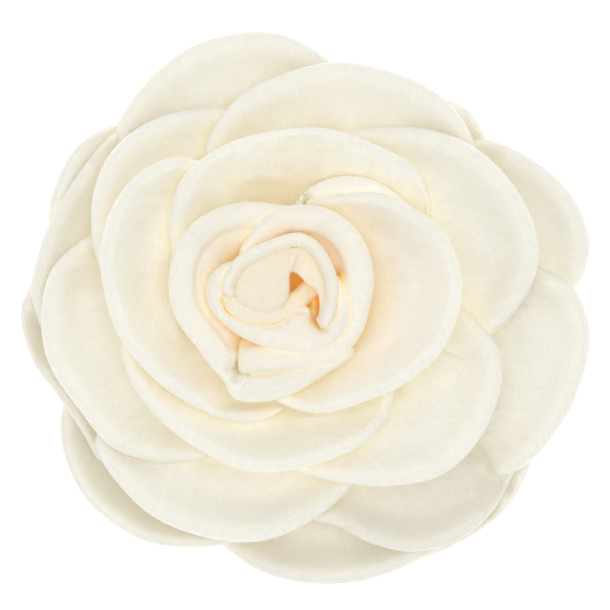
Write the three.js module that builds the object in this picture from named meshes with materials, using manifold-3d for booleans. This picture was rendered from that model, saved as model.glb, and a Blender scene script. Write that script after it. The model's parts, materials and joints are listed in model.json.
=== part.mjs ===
// Rose hair clip: a satin rose of separate petals, sewn to a stiff disc and glued to a sprung clip.
// Millimetres. The rose faces +Z, the clip lies under it along X, and z = 0 is the clip's flat belly.
import * as THREE from 'three';
import Module from 'manifold-3d';
import { mergeVertices } from 'three/addons/utils/BufferGeometryUtils.js';

const wasm = await Module();
wasm.setup();

// ---- driving dimensions ----
const contactGap = 0.3;                     // air between two pieces that touch
const satin = { thickness: 0.9, lipDrop: 1.5, gap: 0.45, reach: 2.8 };
const petalSteps = { around: 13, body: 5, lip: 2 };
const roseCentre = [-2, 2];                 // middle of the bud

const clip = {
  width: 9, metal: 0.8, handleEnd: -24, tip: 24, pivotX: -9, pivotZ: 3.7,
  plateBottom: 6.6, earHalfLength: 2.6, earReach: 1.7,
};
const pin = { radius: 0.75, clearance: 0.06, headRadius: 1.3, headLength: 0.5 };
const spring = { wire: 0.7, coilRadius: 2.2, turns: 3.5, pitch: 1.0, armLength: 8.5 };
const plateTop = clip.plateBottom + clip.metal;
const glue = { length: 34, width: 7, bottom: plateTop + contactGap, thickness: 0.5 };
const felt = { radius: 19, bottom: glue.bottom + glue.thickness + contactGap, thickness: 1.0 };
const disc = { radius: 13, bottom: felt.bottom + felt.thickness + contactGap, thickness: 1.2 };
const floorHeight = disc.bottom + disc.thickness + contactGap;
const core = { innerRadius: 0.9, outerRadius: 2.8, turns: 1.6, band: 0.75, top: 36 };

const finishes = {
  petal: { color: 0xf3ecdc, roughness: 0.55, metalness: 0 },
  innerPetal: { color: 0xf1e6cf, roughness: 0.55, metalness: 0 },
  buckram: { color: 0xe9e2d2, roughness: 0.9, metalness: 0 },
  felt: { color: 0xf0eadc, roughness: 0.95, metalness: 0 },
  glue: { color: 0xe8dfc6, roughness: 0.4, metalness: 0 },
  steel: { color: 0xb9bcc0, roughness: 0.3, metalness: 1 },
};

// Petals in layers from the bud outwards; every petal lies below the ones listed before it.
// rim: points of the free edge (x, y); crest: height at the start, middle and end of the edge;
// lip: how wide the rolled edge is. The layer gives where the petals are sewn and how fast they rise.
const layers = [
  {
    name: 'bud', rootRadius: 3.3, rootStep: 1.0, rootHeight: 33, rootDrop: 5, rise: 2.2, lip: 1.6,
    petals: [
      { name: 'bud_petal', crest: [41, 42.5, 40.5],
        rim: [[2.5, -3.5], [5.5, 3.5], [3.5, 10.5], [-1, 13], [-7, 11.5], [-12.5, 8], [-14, 3.5],
          [-11, -0.5], [-7, -1.5]] },
      { name: 'bud_wrap', crest: [39.5, 41.3, 39.5], lip: 2.3,
        rim: [[-11, 9], [-16, 5], [-16.5, 0.5], [-13.5, -4], [-8, -6.5], [-1, -7.5], [5, -6.5],
          [8, -2], [7, 3], [5.5, 6]] },
    ],
  },
  {
    name: 'ring', rootRadius: 5.3, rootStep: 1.1, rootHeight: 25, rootDrop: 2, rise: 2.6, lip: 2.4,
    petals: [
      { name: 'ring_right', crest: [38.5, 40.3, 38],
        rim: [[-12, 7.5], [-10, 12.5], [-3.5, 17], [3.5, 17], [9, 12.5], [11.2, 4], [9, -5], [3, -9.5],
          [-4.5, -10.5], [-11, -10.5]] },
      { name: 'ring_left', crest: [35.5, 38.5, 36],
        rim: [[-1, 16.5], [-8, 18], [-16, 16.5], [-22, 10], [-23.5, 3], [-21, -4.5], [-15, -11.5],
          [-10.5, -16], [-5, -16.2], [1.5, -14], [9, -6]] },
    ],
  },
  {
    name: 'inner', rootRadius: 7.6, rootStep: 0.5, rootHeight: 20.5, rootDrop: 0.6, rise: 2.8, lip: 2.4,
    petals: [
      { name: 'inner_right', crest: [32.5, 36, 32],
        rim: [[0, 18.5], [8, 20], [16, 18.5], [23, 13.5], [26.7, 5], [25.5, -3], [20, -10.5],
          [11, -15.8], [2, -18], [-5.5, -16]] },
      { name: 'inner_tuck', crest: [30, 33, 29.5], lip: 1.7,
        rim: [[-1, 16.5], [3, 21.5], [10, 22], [15, 19], [19, 15]] },
      { name: 'inner_top', crest: [30.5, 33.5, 28.5], lip: 4.2,
        rim: [[-22, 7], [-23.5, 15], [-20, 24], [-12, 29], [-3, 31], [6, 30.5], [14, 27.5], [20, 22],
          [21, 14.5]] },
      { name: 'inner_left', crest: [27.5, 32, 29],
        rim: [[-15.5, 24], [-22, 26], [-29, 23.5], [-34, 16.5], [-35.2, 6], [-32, -5.5], [-25, -13.5],
          [-15, -19], [-4, -17.5]] },
      { name: 'inner_bottom', crest: [26, 30, 27],
        rim: [[-31, -4.5], [-31.5, -11], [-25.5, -19.5], [-16, -26.5], [-6, -28.5], [4, -26.5],
          [13, -20.5], [15.5, -13.5]] },
    ],
  },
  {
    name: 'middle', rootRadius: 10.5, rootStep: 0.4, rootHeight: 17.8, rootDrop: 0.45, rise: 2.4, lip: 3.6,
    petals: [
      { name: 'middle_lower_right', crest: [25, 27, 23],
        rim: [[25.5, 0.5], [31.5, -4.5], [34.2, -12], [30.5, -22.5], [22, -30], [11, -31.3],
          [-2.5, -28.5]] },
      { name: 'middle_right', crest: [25, 27, 22],
        rim: [[3, 29], [11, 31.5], [22, 31], [32, 26], [39, 17], [40.7, 8], [37, 0], [30.5, -6.5]] },
      { name: 'middle_top', crest: [23.8, 25, 20],
        rim: [[-17.5, 24.5], [-16, 31.5], [-9, 38.5], [1, 42.5], [11, 42.5], [21.5, 38.8], [28, 33],
          [30.5, 26.5]] },
      { name: 'middle_upper_left', crest: [20, 23.5, 22.5], lip: 3.2,
        rim: [[-12.5, 34], [-20, 35], [-29.5, 31.5], [-36, 24], [-37.8, 14], [-36.5, 6]] },
      { name: 'middle_left', crest: [17.5, 23, 22.5],
        rim: [[-35.5, 13.5], [-42.5, 9.5], [-46.5, 0], [-44.5, -11], [-38, -20], [-29.5, -26.2],
          [-17.5, -26.5]] },
      { name: 'middle_bottom', crest: [17.5, 21.5, 19],
        rim: [[-35.5, -20.5], [-36, -27], [-28.5, -35.5], [-18.5, -40.2], [-8, -41], [1.5, -37.2],
          [10, -28.5]] },
    ],
  },
  {
    name: 'outer', rootRadius: 14.5, rootStep: 0.2, rootHeight: 15.2, rootDrop: 0.2, rise: 2.6, lip: 3.0,
    petals: [
      { name: 'outer_right_low', crest: [18, 20, 17],
        rim: [[36, 8.5], [44, 6], [49.2, -1.5], [49.8, -9], [46, -19], [37.5, -28.5], [34.5, -23.5]] },
      { name: 'outer_right_up', crest: [17, 19, 15],
        rim: [[28, 28], [33, 29.5], [41, 25.8], [48, 18.5], [50.2, 11.5], [46.5, 1.5]] },
      { name: 'outer_upper_right', crest: [16, 17, 15], lip: 2.4,
        rim: [[17, 40], [23.5, 37.5], [29.5, 34], [32, 29.5], [33, 25]] },
      { name: 'outer_top', crest: [17, 19, 16.5],
        rim: [[-32, 28.5], [-32.5, 33.5], [-27, 41], [-17, 47.3], [-8, 48.8], [0, 46.5], [10, 37]] },
      { name: 'outer_lower_right', crest: [16.5, 18, 14.5], lip: 2.4,
        rim: [[-1, -37], [7, -39], [17, -43], [26, -41.5], [34, -34.5], [39.5, -22.5]] },
      { name: 'outer_left', crest: [14.7, 17.5, 16], lip: 2.4,
        rim: [[-31, 32.5], [-38, 26.5], [-44.5, 17], [-48.3, 6], [-46.5, -4.5]] },
    ],
  },
  {
    name: 'back', rootRadius: 16.6, rootStep: 0, rootHeight: 14, rootDrop: 0.1, rise: 2.2, lip: 1.7,
    petals: [
      { name: 'back_upper_left', crest: [13, 15, 13],
        rim: [[-29.5, 34], [-36.5, 31.5], [-43, 25], [-45.5, 17], [-44, 9.5]] },
      { name: 'back_left', crest: [13, 15.5, 15.5],
        rim: [[-45.5, 8.5], [-50, 2], [-49.5, -7], [-43, -17], [-36.5, -27.5]] },
      { name: 'back_lower_left', crest: [11.2, 13.8, 13],
        rim: [[-39.5, -13.5], [-43.5, -20], [-41.5, -30], [-33, -39.3], [-22, -42.6], [-8, -39]] },
      { name: 'back_bottom', crest: [11, 13, 11.5],
        rim: [[-19.5, -39], [-13.5, -43.5], [-5, -48], [6, -49], [18, -46], [28, -40]] },
      { name: 'back_lower_right', crest: [10.5, 13, 11.5],
        rim: [[16.5, -45], [24.5, -43.8], [34, -37.5], [40, -28], [41, -21]] },
    ],
  },
];

// ---- meshes, solids and booleans ----
const group = new THREE.Group();

function addPart(name, geometry, finish) {
  const part = new THREE.Mesh(geometry, new THREE.MeshStandardMaterial(finishes[finish]));
  part.name = name;
  group.add(part);
  return part;
}

function toSolid(geometry) {
  const bare = geometry.clone();
  bare.deleteAttribute('normal');
  bare.deleteAttribute('uv');
  const merged = mergeVertices(bare, 1e-3);
  return new wasm.Manifold(new wasm.Mesh({
    numProp: 3,
    vertProperties: new Float32Array(merged.attributes.position.array),
    triVerts: new Uint32Array(merged.index.array),
  }));
}

function toGeometry(solid) {
  const mesh = solid.getMesh();
  const geometry = new THREE.BufferGeometry();
  geometry.setAttribute('position', new THREE.BufferAttribute(mesh.vertProperties, 3));
  geometry.setIndex(new THREE.BufferAttribute(mesh.triVerts, 1));
  return geometry;
}

function plateAcross(outline, width) {      // an outline in x, z made solid across y
  const shape = new THREE.Shape(outline.map(([x, z]) => new THREE.Vector2(x, z)));
  const geometry = new THREE.ExtrudeGeometry(shape, { depth: width, bevelEnabled: false });
  return geometry.rotateX(Math.PI / 2).translate(0, width / 2, 0);
}

function rodAcross(radius, length, sides = 20) {
  return new THREE.CylinderGeometry(radius, radius, length, sides);
}

// ---- petals ----
// The canopy remembers how low the petals placed so far hang over each spot of the plan.
const canopy = { cell: 0.5, half: 56, lows: new Map() };

function canopyKey(i, j) {
  return i * 1000 + j;
}

function lowerCanopy(point) {
  const i = Math.round((point.x + canopy.half) / canopy.cell);
  const j = Math.round((point.y + canopy.half) / canopy.cell);
  const key = canopyKey(i, j);
  const low = canopy.lows.get(key);
  if (low === undefined || point.z < low) canopy.lows.set(key, point.z);
}

function roomBelowCanopy(x, y, reach) {
  const ci = Math.round((x + canopy.half) / canopy.cell);
  const cj = Math.round((y + canopy.half) / canopy.cell);
  const span = Math.ceil(reach / canopy.cell);
  let low = Infinity;
  for (let i = -span; i <= span; i++) {
    for (let j = -span; j <= span; j++) {
      const inReach = Math.hypot(i, j) * canopy.cell <= reach;
      const value = inReach ? canopy.lows.get(canopyKey(ci + i, cj + j)) : undefined;
      if (value !== undefined && value < low) low = value;
    }
  }
  return low - satin.gap;
}

function alongEdge([start, middle, end], u) {   // a value that bows from the middle to both ends
  const side = 2 * u - 1;
  const far = side < 0 ? start : end;
  return middle + (far - middle) * Math.abs(side) ** 2.4;
}

function rimStations(petal, lip, count) {
  const points = petal.rim.map(([x, y]) => new THREE.Vector3(x, y, 0));
  const curve = new THREE.CatmullRomCurve3(points, false, 'catmullrom', 0.5);
  const stations = [];
  for (let i = 0; i <= count; i++) {
    const u = i / count;
    const edge = curve.getPointAt(u);
    const tangent = curve.getTangentAt(u);
    const inward = new THREE.Vector3(-tangent.y, tangent.x, 0);
    const toMiddle = new THREE.Vector3(roseCentre[0] - edge.x, roseCentre[1] - edge.y, 0);
    if (inward.dot(toMiddle) < 0) inward.negate();
    const width = lip * (1 - 0.35 * Math.abs(2 * u - 1) ** 2.4);
    stations.push({ edge, crest: edge.clone().addScaledVector(inward, width), height: alongEdge(petal.crest, u) });
  }
  return stations;
}

function petalTop(petal, shape) {           // rows from the sewn root, over the crest, down the lip
  const stations = rimStations(petal, shape.lip, petalSteps.around);
  const middle = new THREE.Vector3(...roseCentre, 0);
  const rows = [];
  for (let j = 0; j <= petalSteps.body; j++) {
    const s = j / petalSteps.body;
    rows.push(stations.map(({ crest, height }) => {
      const out = crest.clone().sub(middle);
      const rootRadius = Math.min(shape.rootRadius, 0.8 * out.length());
      const point = middle.clone().addScaledVector(out.normalize(), rootRadius).lerp(crest, s);
      point.z = shape.rootHeight + (height - shape.rootHeight) * (1 - (1 - s) ** shape.rise);
      return point;
    }));
  }
  for (let j = 1; j <= petalSteps.lip; j++) {
    const turn = (j / petalSteps.lip) * Math.PI / 2;
    rows.push(stations.map(({ edge, crest, height }) => {
      const point = crest.clone().lerp(edge, Math.sin(turn));
      point.z = height - satin.lipDrop * (1 - Math.cos(turn));
      return point;
    }));
  }
  rows.flat().forEach((point) => {
    point.z = Math.min(point.z, roomBelowCanopy(point.x, point.y, satin.reach));
  });
  return rows;
}

function rowNormals(rows) {
  const last = rows.length - 1;
  return rows.map((row, j) => row.map((point, i) => {
    const along = row[Math.min(i + 1, row.length - 1)].clone().sub(row[Math.max(i - 1, 0)]);
    const out = rows[Math.min(j + 1, last)][i].clone().sub(rows[Math.max(j - 1, 0)][i]);
    const normal = along.cross(out).normalize();
    return normal;
  }));
}

function shellFromRows(rows) {              // thickens the rows downwards into one closed solid
  let normals = rowNormals(rows);
  const upward = normals.flat().reduce((sum, normal) => sum + normal.z, 0);
  if (upward < 0) normals = normals.map((row) => row.map((normal) => normal.negate()));
  const under = rows.map((row, j) => row.map((p, i) => p.clone().addScaledVector(normals[j][i], -satin.thickness)));
  const columns = rows[0].length;
  const positions = [...rows.flat(), ...under.flat()].flatMap((p) => [p.x, p.y, p.z]);
  const top = (j, i) => j * columns + i;
  const bottom = (j, i) => rows.length * columns + j * columns + i;
  const index = [];
  const quad = (a, b, c, d) => {
    if (upward < 0) index.push(a, b, c, a, c, d);
    else index.push(a, c, b, a, d, c);
  };
  const lastRow = rows.length - 1;
  const lastColumn = columns - 1;
  for (let j = 0; j < lastRow; j++) {
    for (let i = 0; i < lastColumn; i++) {
      quad(top(j, i), top(j + 1, i), top(j + 1, i + 1), top(j, i + 1));
      quad(bottom(j, i), bottom(j, i + 1), bottom(j + 1, i + 1), bottom(j + 1, i));
    }
    quad(top(j, 0), bottom(j, 0), bottom(j + 1, 0), top(j + 1, 0));
    quad(top(j, lastColumn), top(j + 1, lastColumn), bottom(j + 1, lastColumn), bottom(j, lastColumn));
  }
  for (let i = 0; i < lastColumn; i++) {
    quad(top(0, i), top(0, i + 1), bottom(0, i + 1), bottom(0, i));
    quad(top(lastRow, i), bottom(lastRow, i), bottom(lastRow, i + 1), top(lastRow, i + 1));
  }
  const geometry = new THREE.BufferGeometry();
  geometry.setAttribute('position', new THREE.Float32BufferAttribute(positions, 3));
  geometry.setIndex(index);
  return { geometry, under };
}

function spreadCanopy(rows) {               // samples every facet of the underside
  const corner = new THREE.Vector3();
  for (let j = 0; j < rows.length - 1; j++) {
    for (let i = 0; i < rows[0].length - 1; i++) {
      const [a, b, c, d] = [rows[j][i], rows[j][i + 1], rows[j + 1][i], rows[j + 1][i + 1]];
      const steps = Math.ceil(Math.max(a.distanceTo(b), a.distanceTo(c), c.distanceTo(d)) / 0.4);
      for (let s = 0; s <= steps; s++) {
        const left = a.clone().lerp(c, s / steps);
        const right = b.clone().lerp(d, s / steps);
        for (let t = 0; t <= steps; t++) lowerCanopy(corner.copy(left).lerp(right, t / steps));
      }
    }
  }
}

function addPetals() {
  for (const layer of layers) {
    layer.petals.forEach((petal, order) => {
      const shape = {
        lip: petal.lip ?? layer.lip, rise: layer.rise,
        rootRadius: layer.rootRadius + order * layer.rootStep,
        rootHeight: layer.rootHeight - order * layer.rootDrop,
      };
      const { geometry, under } = shellFromRows(petalTop(petal, shape));
      spreadCanopy(under);
      addPart(petal.name, geometry, layer.name === 'bud' || layer.name === 'ring' ? 'innerPetal' : 'petal');
    });
  }
}

function addBudCore() {                     // a strip rolled up into the stem of the bud
  const steps = 26;
  const outer = [];
  const inner = [];
  for (let i = 0; i <= steps; i++) {
    const t = i / steps;
    const angle = t * core.turns * 2 * Math.PI;
    const radius = core.innerRadius + (core.outerRadius - core.innerRadius) * t;
    outer.push(new THREE.Vector2(Math.cos(angle) * radius, Math.sin(angle) * radius));
    const within = radius - core.band;
    inner.push(new THREE.Vector2(Math.cos(angle) * within, Math.sin(angle) * within));
  }
  const shape = new THREE.Shape([...outer, ...inner.reverse()]);
  const geometry = new THREE.ExtrudeGeometry(shape, { depth: core.top - floorHeight, bevelEnabled: false });
  addPart('bud_core', geometry.translate(...roseCentre, floorHeight), 'innerPetal');
}

// ---- discs and glue ----
function addDiscs() {
  const base = new THREE.CylinderGeometry(disc.radius, disc.radius, disc.thickness, 40);
  addPart('base_disc', base.rotateX(Math.PI / 2).translate(0, 0, disc.bottom + disc.thickness / 2), 'buckram');
  const backing = new THREE.CylinderGeometry(felt.radius, felt.radius, felt.thickness, 48);
  addPart('felt_backing', backing.rotateX(Math.PI / 2).translate(0, 0, felt.bottom + felt.thickness / 2), 'felt');
  const pad = new THREE.BoxGeometry(glue.length, glue.width, glue.thickness);
  addPart('glue_pad', pad.translate(0, 0, glue.bottom + glue.thickness / 2), 'glue');
}

// ---- clip ----
function earPair(halfGap, low, high) {      // two cheeks round the pin, drawn as one side outline
  const { pivotX, earHalfLength, metal } = clip;
  return [-1, 1].map((side) => {
    const outline = [
      [pivotX - earHalfLength, low], [pivotX + earHalfLength, low],
      [pivotX + earHalfLength, high], [pivotX - earHalfLength, high],
    ];
    return toSolid(plateAcross(outline, metal).translate(0, side * (halfGap + metal / 2), 0));
  });
}

function pinHole() {
  const hole = rodAcross(pin.radius + pin.clearance, clip.width * 2);
  return toSolid(hole.translate(clip.pivotX, 0, clip.pivotZ));
}

function addUpperJaw() {
  const { handleEnd, tip, plateBottom, metal, width, pivotZ, earReach } = clip;
  const outline = [[handleEnd, plateBottom], [tip, plateBottom], [tip, plateTop], [handleEnd, plateTop]];
  const cheeks = earPair(width / 2 - metal, pivotZ - earReach, plateBottom + metal / 2);
  const body = cheeks.reduce((solid, cheek) => solid.add(cheek), toSolid(plateAcross(outline, width)));
  addPart('upper_jaw', toGeometry(body.subtract(pinHole())), 'steel');
}

function addLowerJaw() {
  const { handleEnd, tip, plateBottom, metal, width, pivotZ, earReach } = clip;
  const tipHeight = plateBottom - contactGap;
  const outline = [
    [handleEnd, 0.5], [handleEnd + 5, 0], [tip - 9, 0], [tip - 4, 1.2], [tip - 1, 3.2], [tip, tipHeight],
    [tip - metal, tipHeight], [tip - metal - 0.8, 3.8], [tip - 4.6, 1.2 + metal],
    [tip - 9.2, metal], [handleEnd + 5, metal], [handleEnd, 0.5 + metal],
  ];
  const inside = width - 2 * metal - 2 * contactGap - 0.2;
  const strip = toSolid(plateAcross(outline, inside));
  const cheeks = earPair(inside / 2 - metal, metal / 2, pivotZ + earReach);
  const body = cheeks.reduce((solid, cheek) => solid.add(cheek), strip);
  addPart('lower_jaw', toGeometry(body.subtract(pinHole())), 'steel');
}

function addHingePin() {
  const shaftEnd = clip.width / 2 + contactGap;
  const end = shaftEnd + pin.headLength;
  const profile = [
    [0, -end], [pin.headRadius, -end], [pin.headRadius, -shaftEnd], [pin.radius, -shaftEnd],
    [pin.radius, shaftEnd], [pin.headRadius, shaftEnd], [pin.headRadius, end], [0, end],
  ].map(([r, y]) => new THREE.Vector2(r, y));
  addPart('hinge_pin', new THREE.LatheGeometry(profile, 20).translate(clip.pivotX, 0, clip.pivotZ), 'steel');
}

class TorsionCoil extends THREE.Curve {     // coil round the pin with a straight arm at each end
  getPoint(t, target = new THREE.Vector3()) {
    const { coilRadius, turns, pitch, armLength } = spring;
    const coilLength = 2 * Math.PI * coilRadius * turns;
    const distance = t * (coilLength + 2 * armLength) - armLength;
    const wound = Math.min(Math.max(distance, 0), coilLength);
    const angle = Math.PI / 2 - wound / coilRadius;
    const arm = distance - wound;
    const y = (wound / coilLength - 0.5) * pitch * turns;
    const x = coilRadius * Math.cos(angle) - Math.abs(arm);
    return target.set(x, y, coilRadius * Math.sin(angle));
  }
}

function addSpring() {
  const wire = new THREE.Shape();
  wire.absarc(0, 0, spring.wire / 2, 0, 2 * Math.PI);
  const geometry = new THREE.ExtrudeGeometry(wire, {
    extrudePath: new TorsionCoil(), steps: 50, curveSegments: 3, bevelEnabled: false,
  });
  addPart('torsion_spring', geometry.translate(clip.pivotX, 0, clip.pivotZ), 'steel');
}

addPetals();
addBudCore();
addDiscs();
addUpperJaw();
addLowerJaw();
addHingePin();
addSpring();

// The origin is under the middle of the rose's outline.
const outlineCentre = new THREE.Box3().setFromObject(group).getCenter(new THREE.Vector3());
group.position.set(-outlineCentre.x, -outlineCentre.y, 0);

export default group;
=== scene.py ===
import json
import math
import bpy
import numpy as np
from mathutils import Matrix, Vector

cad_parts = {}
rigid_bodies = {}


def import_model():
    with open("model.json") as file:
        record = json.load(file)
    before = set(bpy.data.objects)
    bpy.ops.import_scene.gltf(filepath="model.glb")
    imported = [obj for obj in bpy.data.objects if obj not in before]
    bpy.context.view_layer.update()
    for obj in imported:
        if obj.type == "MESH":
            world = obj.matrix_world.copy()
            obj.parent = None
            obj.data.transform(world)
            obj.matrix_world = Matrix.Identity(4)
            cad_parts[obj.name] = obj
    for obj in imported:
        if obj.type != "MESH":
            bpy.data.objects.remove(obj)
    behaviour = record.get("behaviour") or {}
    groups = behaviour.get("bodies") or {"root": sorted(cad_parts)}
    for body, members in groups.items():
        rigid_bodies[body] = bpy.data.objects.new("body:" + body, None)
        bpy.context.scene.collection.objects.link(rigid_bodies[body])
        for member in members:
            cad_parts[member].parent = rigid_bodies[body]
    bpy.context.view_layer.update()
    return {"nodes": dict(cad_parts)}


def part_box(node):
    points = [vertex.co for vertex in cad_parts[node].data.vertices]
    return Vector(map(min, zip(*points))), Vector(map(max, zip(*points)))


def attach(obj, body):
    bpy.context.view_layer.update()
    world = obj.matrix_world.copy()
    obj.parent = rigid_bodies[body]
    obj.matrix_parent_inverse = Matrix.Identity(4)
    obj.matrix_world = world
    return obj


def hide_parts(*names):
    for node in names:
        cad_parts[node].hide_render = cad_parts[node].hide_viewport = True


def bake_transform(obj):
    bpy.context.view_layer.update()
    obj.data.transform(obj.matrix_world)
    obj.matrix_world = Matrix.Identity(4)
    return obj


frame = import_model()
print("frame loaded:", len(frame["nodes"]), "nodes")

mm = 0.001
discLow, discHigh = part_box("base_disc")
originShift = np.array([(discLow.x + discHigh.x) / 2, (discLow.y + discHigh.y) / 2, 0]) / mm
roseCentre = np.array([-2.0, 2.0])

view = {"height": 0.9, "width": 0.1087, "widthAt": 0.018,  # the frame spans this width at that height
        "x": 0.0, "y": 0.0006, "sensor": 36.0, "clipStart": 0.01}


def makeCamera():
    data = bpy.data.cameras.new("camera")
    data.sensor_width = view["sensor"]
    data.lens = view["sensor"] * (view["height"] - view["widthAt"]) / view["width"]
    data.clip_start = view["clipStart"]
    camera = bpy.data.objects.new("camera", data)
    camera.location = (view["x"], view["y"], view["height"])  # looks straight down, +Y up
    bpy.context.scene.collection.objects.link(camera)
    bpy.context.scene.camera = camera


studio = {"ambient": 0.575, "bounces": 16, "ambientColor": (1.0, 1.0, 1.0, 1.0),
          "boxes": [{"size": 0.7, "power": 2.5, "distance": 1.1, "elevation": 90, "turn": 0},
                    {"size": 0.45, "power": 0.8, "distance": 0.75, "elevation": 42, "turn": 215},
                    {"size": 0.45, "power": 0.75, "distance": 0.75, "elevation": 42, "turn": 330},
                    {"size": 0.45, "power": 0.8, "distance": 0.75, "elevation": 42, "turn": 90}],
          "floorColor": (0.93, 0.93, 0.93, 1.0), "floorGlow": 0.45, "floorRoughness": 0.8,
          "floorSize": 6.0, "floorAt": -0.0002}


def makeStudio():
    world = bpy.data.worlds.new("studio")
    world.use_nodes = True
    background = world.node_tree.nodes["Background"]
    background.inputs["Color"].default_value = studio["ambientColor"]
    background.inputs["Strength"].default_value = studio["ambient"]
    bpy.context.scene.world = world
    for box in studio["boxes"]:
        light = bpy.data.lights.new("softbox", "AREA")
        light.size = box["size"]
        light.energy = box["power"]
        lamp = bpy.data.objects.new("softbox", light)
        up, around = math.radians(box["elevation"]), math.radians(box["turn"])
        away = Vector((math.cos(up) * math.cos(around), math.cos(up) * math.sin(around), math.sin(up)))
        lamp.location = away * box["distance"]
        lamp.rotation_euler = (-away).to_track_quat("-Z", "Y").to_euler()
        bpy.context.scene.collection.objects.link(lamp)
    half = studio["floorSize"] / 2
    corners = [(-half, -half, 0), (half, -half, 0), (half, half, 0), (-half, half, 0)]
    mesh = bpy.data.meshes.new("floor")
    mesh.from_pydata(corners, [], [(0, 1, 2, 3)])
    floor = bpy.data.objects.new("floor", mesh)
    floor.location.z = studio["floorAt"]  # just clear of the clip
    bpy.context.scene.collection.objects.link(floor)
    material = bpy.data.materials.new("paleFloor")
    material.use_nodes = True
    shader = material.node_tree.nodes["Principled BSDF"]
    shader.inputs["Base Color"].default_value = studio["floorColor"]
    shader.inputs["Roughness"].default_value = studio["floorRoughness"]
    shader.inputs["Emission Color"].default_value = studio["ambientColor"]
    shader.inputs["Emission Strength"].default_value = studio["floorGlow"]
    mesh.materials.append(material)
    bpy.context.scene.view_settings.view_transform = "Standard"
    bpy.context.scene.cycles.max_bounces = studio["bounces"]
    bpy.context.scene.cycles.diffuse_bounces = studio["bounces"]


makeCamera()
makeStudio()
print("camera and studio ready")

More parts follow.
